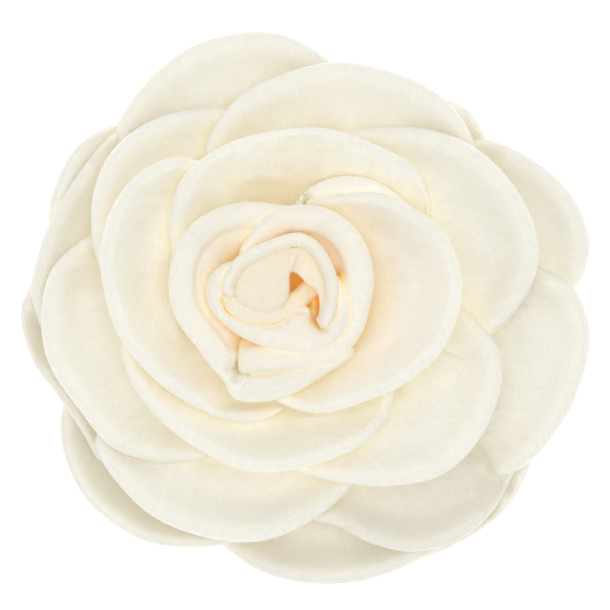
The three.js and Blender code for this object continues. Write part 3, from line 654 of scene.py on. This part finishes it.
def addGroup(name, inputs, outputs):
    tree = bpy.data.node_groups.new(name, "ShaderNodeTree")
    for label, kind, value in inputs:
        socket = tree.interface.new_socket(name=label, in_out="INPUT", socket_type=kind)
        if value is not None:
            socket.default_value = value
    for label, kind in outputs:
        tree.interface.new_socket(name=label, in_out="OUTPUT", socket_type=kind)
    return tree, tree.nodes.new("NodeGroupInput"), tree.nodes.new("NodeGroupOutput")


def node(tree, kind, **settings):
    made = tree.nodes.new(kind)
    for key, value in settings.items():
        if key in made.inputs:
            made.inputs[key].default_value = value
        else:
            setattr(made, key, value)
    return made


def mathNode(tree, operation, a, b=None):
    made = tree.nodes.new("ShaderNodeMath")
    made.operation = operation
    for socket, value in zip(made.inputs, (a, b)):
        if isinstance(value, bpy.types.NodeSocket):
            tree.links.new(value, socket)
        elif value is not None:
            socket.default_value = value
    return made.outputs[0]


def colorRamp(tree, value, stops):
    ramp = tree.nodes.new("ShaderNodeValToRGB")
    elements = ramp.color_ramp.elements
    for k, (place, color) in enumerate(stops):
        stop = elements[k] if k < 2 else elements.new(place)
        stop.position, stop.color = place, color
    tree.links.new(value, ramp.inputs["Fac"])
    return ramp.outputs["Color"]


def streaks(tree, vector, stretch, seed):  # fine thread-like noise, long in one direction
    mapping = node(tree, "ShaderNodeMapping")
    mapping.inputs["Scale"].default_value = stretch
    mapping.inputs["Location"].default_value = (seed, seed * 2, 0)
    tree.links.new(vector, mapping.inputs["Vector"])
    noise = node(tree, "ShaderNodeTexNoise", Scale=1.0, Detail=2.0, Roughness=0.6)
    tree.links.new(mapping.outputs[0], noise.inputs["Vector"])
    return noise.outputs["Fac"]


weaveShape = {"warp": (0.22, 1.6, 1), "weft": (1.5, 0.3, 1), "cloud": (0.9, 0.1, 1),  # stretch of each
              "warpShare": 1.95, "weftShare": 1.05, "level": 1.0,
              "threadTone": 0.5, "cloudTone": 0.8, "toneLevel": 0.15}


def mixTwo(tree, a, shareA, b, shareB):
    return mathNode(tree, "ADD", mathNode(tree, "MULTIPLY", a, shareA), mathNode(tree, "MULTIPLY", b, shareB))


def makeSatinWeave():  # coordinates in mm; warp threads run across the petal, weft shows faintly
    tree, given, out = addGroup(
        "satinWeave",
        [("Vector", "NodeSocketVector", None), ("Threads per mm", "NodeSocketFloat", 4.0)],
        [("Height", "NodeSocketFloat"), ("Tone", "NodeSocketFloat")])
    vector = given.outputs["Vector"]
    scaled = node(tree, "ShaderNodeVectorMath", operation="SCALE")
    tree.links.new(vector, scaled.inputs[0])
    tree.links.new(given.outputs["Threads per mm"], scaled.inputs["Scale"])
    warp = streaks(tree, scaled.outputs[0], weaveShape["warp"], 1.7)
    weft = streaks(tree, scaled.outputs[0], weaveShape["weft"], 5.1)
    cloudy = streaks(tree, vector, weaveShape["cloud"], 9.3)
    threads = mixTwo(tree, warp, weaveShape["warpShare"], weft, weaveShape["weftShare"])
    threads = mathNode(tree, "SUBTRACT", threads, weaveShape["level"])
    tree.links.new(threads, out.inputs["Height"])
    tone = mixTwo(tree, threads, weaveShape["threadTone"], cloudy, weaveShape["cloudTone"])
    tone = mathNode(tree, "SUBTRACT", tone, weaveShape["toneLevel"])
    tree.links.new(tone, out.inputs["Tone"])
    return tree


satinWeave = makeSatinWeave()
satinFinish = {"shades": [(0.08, (1.0, 0.77, 0.34, 1)), (0.24, (0.975, 0.905, 0.64, 1)),
                          (0.45, (0.965, 0.933, 0.785, 1)), (0.8, (0.935, 0.912, 0.812, 1)),
                          (1.0, (0.922, 0.903, 0.815, 1))],  # painted shade, warmer and darker from deep in a valley to the open
               "glow": [(0.08, (0.12, 0.07, 0.0, 1)), (0.26, (0.11, 0.09, 0.04, 1)),
                        (0.5, (0.105, 0.088, 0.068, 1)), (0.8, (0.03, 0.026, 0.022, 1)),
                        (1.0, (0, 0, 0, 1))],  # painted glow, an emission standing in for light let through the thin cloth
               # warmTint and warmGlow paint warm light inside the bud; shadowTint paints a grey shadow on
               # back petals
               "glowStrength": 1.0, "warmTint": (0.985, 0.905, 0.795, 1), "warmGlow": 0.14,
               "shadowTint": (0.90, 0.885, 0.865, 1), "roughness": 0.42, "specular": 0.45,
               "sheen": 0.12, "toneDepth": 0.10, "bump": 0.65, "bumpHeight": 0.00013, "threads": 3.6}


def makeSatin(name):
    material, tree, shader = newMaterial(name)
    link = tree.links.new
    uv = node(tree, "ShaderNodeUVMap", uv_map="weave")
    weave = node(tree, "ShaderNodeGroup", node_tree=satinWeave)
    weave.inputs["Threads per mm"].default_value = satinFinish["threads"]
    link(uv.outputs[0], weave.inputs["Vector"])
    # the openness ramp paints shade into the base colour, warmth and shadow tint it with painted warm light
    # and painted shadow, and the glow ramp paints glow as emission
    openness = node(tree, "ShaderNodeAttribute", attribute_name="openness")
    paintedShadeColor = colorRamp(tree, openness.outputs["Fac"], satinFinish["shades"])
    glowing = node(tree, "ShaderNodeAttribute", attribute_name="glow")
    unlit = mathNode(tree, "SUBTRACT", 1.0, glowing.outputs["Fac"])
    link(colorRamp(tree, unlit, satinFinish["glow"]), shader.inputs["Emission Color"])
    shader.inputs["Emission Strength"].default_value = satinFinish["glowStrength"]
    shadeDown = mathNode(tree, "SUBTRACT", 1.0 + satinFinish["toneDepth"] / 2,
                         mathNode(tree, "MULTIPLY", weave.outputs["Tone"], satinFinish["toneDepth"]))
    tinted = node(tree, "ShaderNodeVectorMath", operation="SCALE")
    for label, tint in (("warmth", "warmTint"), ("shadow", "shadowTint")):
        amount = node(tree, "ShaderNodeAttribute", attribute_name=label)
        mixed = node(tree, "ShaderNodeMix", data_type="RGBA", blend_type="MULTIPLY")
        link(amount.outputs["Fac"], mixed.inputs[0])
        link(paintedShadeColor, mixed.inputs[6])
        mixed.inputs[7].default_value = satinFinish[tint]
        paintedShadeColor = mixed.outputs[2]
    link(paintedShadeColor, tinted.inputs[0])
    link(shadeDown, tinted.inputs["Scale"])
    link(tinted.outputs[0], shader.inputs["Base Color"])
    bump = node(tree, "ShaderNodeBump", Strength=satinFinish["bump"], Distance=satinFinish["bumpHeight"])
    link(weave.outputs["Height"], bump.inputs["Height"])
    link(bump.outputs[0], shader.inputs["Normal"])
    shader.inputs["Roughness"].default_value = satinFinish["roughness"]
    shader.inputs["Specular IOR Level"].default_value = satinFinish["specular"]
    shader.inputs["Sheen Weight"].default_value = satinFinish["sheen"]
    return material


satin = makeSatin("satin")


innerLight = {"lessAtEdge": 0.65, "from": 0.62, "over": 0.16}


def innerWarmth(p, rows):  # cloth inside the bud is lit through other petals, so it looks warmer
    amount = p.get("warm", 0.0)
    across = np.linspace(0, 2, len(rows))
    s = np.where(across < 1, across, 2 - across)[:, None]
    nearEdge = np.clip((s - innerLight["from"]) / innerLight["over"], 0, 1)
    return amount * (1 - innerLight["lessAtEdge"] * nearEdge)


def buildPetals():
    pieces = petals + [budStrip]
    shells = [petalShell(p) for p in petals] + [bandShell(budStrip)]
    openness = findOpenness([rows for rows, _, _ in shells])
    for p, (rows, middle, rimLength), seen in zip(pieces, shells, openness):
        petal = gridObject("satin_" + p["name"], rows, weaveCoordinates(rows, middle))
        seen = np.maximum(seen, p.get("lit", 0.0))
        warm = innerWarmth(p, rows)
        # painted light for the satin: shade by openness, warm light inside the bud, grey shadow and glow
        surface = {"openness": seen, "warmth": warm, "shadow": p.get("shadow", 0.0),
                   "glow": (1 - seen) * p.get("glow", 1.0) + warm * satinFinish["warmGlow"]}
        for label, values in surface.items():
            layer = petal.data.attributes.new(label, "FLOAT", "POINT")
            layer.data.foreach_set("value", (values * np.ones(rows.shape[:2])).ravel().astype(np.float32))
        petal.data.materials.append(satin)
        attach(petal, "rose")
        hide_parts(p["name"])


buildPetals()
print("petals built:", len(petals))

discEdge = {"innermost": 0.03, "turns": 9}


def meshObject(name, points, faces, smooth=True):
    mesh = bpy.data.meshes.new(name)
    mesh.from_pydata(((np.asarray(points, float) + originShift) * mm).tolist(), [], faces)
    mesh.update()
    mesh.polygons.foreach_set("use_smooth", [smooth] * len(mesh.polygons))
    obj = bpy.data.objects.new(name, mesh)
    bpy.context.scene.collection.objects.link(obj)
    return obj


def tube(path, radius, sides):  # a closed round tube along a line of points
    path = np.asarray(path, float)
    along = np.gradient(path, axis=0)
    along /= np.linalg.norm(along, axis=1)[:, None]
    side = np.cross(along[0], (0.3, 1, 0.2))  # any direction that no path starts in
    rings = []
    for spot, way in zip(path, along):
        side = side - way * (side @ way)
        side /= np.linalg.norm(side)
        other = np.cross(way, side)
        turns = np.linspace(0, math.tau, sides, endpoint=False)[:, None]
        rings.append(spot + radius * (np.cos(turns) * side + np.sin(turns) * other))
    points = np.concatenate(rings)
    faces = []
    for k in range(len(path) - 1):
        for j in range(sides):
            a, b = k * sides + j, k * sides + (j + 1) % sides
            faces.append((a, b, b + sides, a + sides))
    faces.append(tuple(range(sides))[::-1])
    faces.append(tuple(range((len(path) - 1) * sides, len(path) * sides)))
    return points, faces


def discShell(outline, low, high, rounding, rings, bumpTop, bumpBottom):  # a flat pad with a rolled edge
    count = len(outline)
    centre = outline.mean(0)
    rows, half, mid = [], (high - low) / 2, (high + low) / 2
    reach = np.linalg.norm(outline - centre, axis=1)[:, None]
    unit = (outline - centre) / reach
    outwards = np.linspace(discEdge["innermost"], 1, rings)
    for t in outwards:
        spot = centre + unit * (reach - rounding) * t
        rows.append(np.c_[spot, high + bumpTop(spot)])
    for turn in np.linspace(0, math.pi, discEdge["turns"])[1:-1]:
        spot = centre + unit * (reach - rounding + rounding * math.sin(turn))
        rows.append(np.c_[spot, np.full(count, mid + half * math.cos(turn))])
    for t in outwards[::-1]:
        spot = centre + unit * (reach - rounding) * t
        rows.append(np.c_[spot, low + bumpBottom(spot)])
    grid = np.array(rows)
    points = grid.reshape(-1, 3)
    faces = []
    for k in range(len(rows) - 1):
        for j in range(count):
            a, b = k * count + j, k * count + (j + 1) % count
            faces.append((a, a + count, b + count, b))
    faces.append(tuple(range(count)))
    faces.append(tuple(range((len(rows) - 1) * count, len(rows) * count))[::-1])
    return points, faces


def objectCoordinates(tree):  # the surface's own coordinates in mm
    given = node(tree, "ShaderNodeTexCoord")
    mapping = node(tree, "ShaderNodeMapping")
    mapping.inputs["Scale"].default_value = (1 / mm,) * 3
    tree.links.new(given.outputs["Object"], mapping.inputs["Vector"])
    return mapping.outputs[0]


def shaded(color, share):
    return tuple(share * v for v in color[:3]) + (1,)


def addBump(tree, shader, height, strength, distance):
    bump = node(tree, "ShaderNodeBump", Strength=strength, Distance=distance)
    tree.links.new(height, bump.inputs["Height"])
    tree.links.new(bump.outputs[0], shader.inputs["Normal"])


metalFinish = {"scratches": (0.15, 3.5, 3.5), "patches": (0.22, 0.3, 0.3), "mix": 0.5,
               "mixLow": 0.3, "mixHigh": 0.7, "darker": 0.9, "darkAt": 0.25, "lightAt": 0.75,
               "bump": 0.4, "scratchDepth": 0.00002}


def makeMetal(name, color, roughness, wear):  # rolled strip: fine scratches and duller patches
    material, tree, shader = newMaterial(name)
    spot = objectCoordinates(tree)
    scratches = streaks(tree, spot, metalFinish["scratches"], 2.3)
    patches = streaks(tree, spot, metalFinish["patches"], 6.1)
    rough = node(tree, "ShaderNodeMapRange")
    rough.inputs["From Min"].default_value = metalFinish["mixLow"]
    rough.inputs["From Max"].default_value = metalFinish["mixHigh"]
    rough.inputs["To Min"].default_value = roughness - wear
    rough.inputs["To Max"].default_value = roughness + wear
    mix = mixTwo(tree, scratches, metalFinish["mix"], patches, metalFinish["mix"])
    tree.links.new(mix, rough.inputs["Value"])
    tree.links.new(rough.outputs[0], shader.inputs["Roughness"])
    stops = [(metalFinish["darkAt"], shaded(color, metalFinish["darker"])), (metalFinish["lightAt"], color)]
    tree.links.new(colorRamp(tree, patches, stops), shader.inputs["Base Color"])
    shader.inputs["Metallic"].default_value = 1.0
    addBump(tree, shader, scratches, metalFinish["bump"], metalFinish["scratchDepth"])
    return material


feltFinish = {"tufts": (0.3, 0.9, 1), "fineShare": 0.6, "tuftShare": 0.4, "darker": 0.80, "darkAt": 0.35,
              "lightAt": 0.62, "roughness": 0.92, "sheen": 0.35, "bump": 0.8, "bumpHeight": 0.0004}


def makeFelt(name, color, coarse):  # matted fibres
    material, tree, shader = newMaterial(name)
    spot = objectCoordinates(tree)
    fine = streaks(tree, spot, (coarse,) * 3, 3.3)
    tufts = streaks(tree, spot, tuple(coarse * share for share in feltFinish["tufts"]), 8.8)
    fibres = mixTwo(tree, fine, feltFinish["fineShare"], tufts, feltFinish["tuftShare"])
    stops = [(feltFinish["darkAt"], shaded(color, feltFinish["darker"])), (feltFinish["lightAt"], color)]
    tree.links.new(colorRamp(tree, fibres, stops), shader.inputs["Base Color"])
    shader.inputs["Roughness"].default_value = feltFinish["roughness"]
    shader.inputs["Sheen Weight"].default_value = feltFinish["sheen"]
    addBump(tree, shader, fibres, feltFinish["bump"], feltFinish["bumpHeight"])
    return material


glueFinish = {"cloud": (0.35, 0.6, 0.6),
              "shades": [(0.3, (0.80, 0.74, 0.58, 1)), (0.7, (0.93, 0.90, 0.80, 1))],
              "roughness": 0.22, "coat": 0.3, "bump": 0.5, "bumpHeight": 0.0004}


def makeGlue(name):  # set glue, cloudy in places
    material, tree, shader = newMaterial(name)
    cloudy = streaks(tree, objectCoordinates(tree), glueFinish["cloud"], 4.4)
    tree.links.new(colorRamp(tree, cloudy, glueFinish["shades"]), shader.inputs["Base Color"])
    shader.inputs["Roughness"].default_value = glueFinish["roughness"]
    shader.inputs["Coat Weight"].default_value = glueFinish["coat"]
    addBump(tree, shader, cloudy, glueFinish["bump"], glueFinish["bumpHeight"])
    return material


backing = {"radius": 19.0, "low": 8.5, "thickness": 1.0, "inset": 0.1, "lift": 0.04, "rounding": 0.45,
           "rings": 40, "around": 160, "waves": [(5, 1, 0.004), (11, 0, 0.003)],  # count, start and height
           "topRipple": (0.06, 90, 4.0), "lowRipple": (0.05, 91, 3.0),
           "color": (0.90, 0.86, 0.74, 1), "fibres": 2.2}
stitch = {"count": 44, "inset": 1.6, "edge": 0.05, "slant": 0.35, "sway": 0.15, "swayTurns": 7,
          "radius": 0.12, "sides": 6, "steps": 22, "color": (0.93, 0.90, 0.80, 1), "fibres": 6.0}


def buildBacking():
    turns = np.linspace(0, math.tau, backing["around"], endpoint=False)
    wobble = 1 + sum(height * np.sin(count * turns + start) for count, start, height in backing["waves"])
    outline = (backing["radius"] - backing["inset"]) * wobble[:, None] * np.c_[np.cos(turns), np.sin(turns)]
    low, high = backing["low"], backing["low"] + backing["thickness"]
    topHeight, topSeed, topSize = backing["topRipple"]
    lowHeight, lowSeed, lowSize = backing["lowRipple"]
    points, faces = discShell(outline, low + backing["lift"], high, backing["rounding"], backing["rings"],
                              lambda xy: topHeight * ripple(xy, topSeed, topSize),
                              lambda xy: lowHeight * np.abs(ripple(xy, lowSeed, lowSize)))
    felt = meshObject("feltDisc", points, faces)
    felt.data.materials.append(makeFelt("feltCream", backing["color"], backing["fibres"]))
    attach(felt, "rose")
    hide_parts("felt_backing")
    threadMaterial = makeFelt("stitchThread", stitch["color"], stitch["fibres"])
    inner, outer = backing["radius"] - stitch["inset"], backing["radius"] - stitch["edge"]
    course = [(inner, -1, low + 0.25), (inner + 0.25, -0.6, low - 0.05), (outer - 0.25, 0, low - 0.06),
              (outer + 0.12, 0.3, (low + high) / 2), (outer - 0.25, 0.7, high + 0.08),
              (inner + 0.3, 1, high + 0.02), (inner, 1, high - 0.25)]  # radius, share of the slant, height
    allPoints, allFaces = [], []
    for k in range(stitch["count"]):  # whipped over the felt's edge
        turn = math.tau * (k + stitch["sway"] * math.sin(stitch["swayTurns"] * k)) / stitch["count"]
        out = np.array([math.cos(turn), math.sin(turn), 0])
        slant = np.array([-math.sin(turn), math.cos(turn), 0]) * stitch["slant"]
        path = [out * radius + slant * share + (0, 0, height) for radius, share, height in course]
        line = curveThrough(path, np.linspace(0, 1, stitch["steps"]))
        points, faces = tube(line, stitch["radius"], stitch["sides"])
        start = sum(len(q) for q in allPoints)
        allPoints.append(points)
        allFaces += [tuple(v + start for v in face) for face in faces]
    stitches = meshObject("feltStitches", np.concatenate(allPoints), allFaces)
    stitches.data.materials.append(threadMaterial)
    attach(stitches, "rose")


pad = {"size": (34.0, 7.6), "low": 7.45, "high": 8.55, "squareness": (0.35, 0.5), "rounding": 0.5,
       "rings": 14, "around": 120, "sway": (0.198, 95, 7.0), "lowRipple": (0.08, 96, 3.0)}


def buildPad():
    turns = np.linspace(0, math.tau, pad["around"], endpoint=False)
    x, y = np.cos(turns), np.sin(turns)
    long, wide = pad["size"]
    endSquare, sideSquare = pad["squareness"]
    outline = np.c_[long / 2 * np.sign(x) * np.abs(x) ** endSquare,
                    wide / 2 * np.sign(y) * np.abs(y) ** sideSquare]
    sway, swaySeed, swaySize = pad["sway"]
    outline += sway * ripple(outline, swaySeed, swaySize)[:, None] * np.c_[x, y]
    lowHeight, lowSeed, lowSize = pad["lowRipple"]
    points, faces = discShell(outline, pad["low"], pad["high"], pad["rounding"], pad["rings"],
                              lambda xy: 0 * xy[:, 0], lambda xy: lowHeight * ripple(xy, lowSeed, lowSize))
    glue = meshObject("glueBead", points, faces)
    glue.data.materials.append(makeGlue("setGlue"))
    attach(glue, "rose")
    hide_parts("glue_pad")


spring = {"pivot": (-9.0, 3.7), "wire": 0.35, "coilRadius": 2.2, "turns": 3.5, "pitch": 1.0, "arm": 8.5,
          "steps": 260, "sides": 12, "color": (0.62, 0.60, 0.57, 1), "roughness": 0.3, "wear": 0.1}


def buildSpring():
    x0, z0 = spring["pivot"]
    radius = spring["coilRadius"]
    coil = math.tau * radius * spring["turns"]
    path = []
    for distance in np.linspace(-spring["arm"], coil + spring["arm"], spring["steps"]):
        wound = min(max(distance, 0), coil)  # the length on the coil; the rest is a straight arm
        angle = math.pi / 2 - wound / radius
        x = radius * math.cos(angle) - abs(distance - wound)
        y = (wound / coil - 0.5) * spring["pitch"] * spring["turns"]
        path.append((x0 + x, y, z0 + radius * math.sin(angle)))
    points, faces = tube(path, spring["wire"], spring["sides"])
    wire = meshObject("springWire", points, faces)
    steel = makeMetal("springSteel", spring["color"], spring["roughness"], spring["wear"])
    wire.data.materials.append(steel)
    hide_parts("torsion_spring")
    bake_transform(wire)


jaws = {"color": (0.80, 0.78, 0.75, 1), "roughness": 0.26, "wear": 0.09}
pin = {"color": (0.72, 0.69, 0.64, 1), "roughness": 0.32, "wear": 0.1}
buckram = {"color": (0.90, 0.87, 0.76, 1), "fibres": 1.4}  # the stiff disc that the petals are sewn to


def finishNode(name, material):
    for part in bpy.data.objects:
        if part.type == "MESH" and (part.name == name or part.name.startswith(name + ".")):
            for place in part.material_slots:
                place.material = material


buildBacking()
buildPad()
buildSpring()
plate = makeMetal("nickelPlate", jaws["color"], jaws["roughness"], jaws["wear"])
for jaw in ("upper_jaw", "lower_jaw"):
    finishNode(jaw, plate)
finishNode("hinge_pin", makeMetal("pinSteel", pin["color"], pin["roughness"], pin["wear"]))
finishNode("base_disc", makeFelt("buckram", buckram["color"], buckram["fibres"]))
print("clip and backing finished")
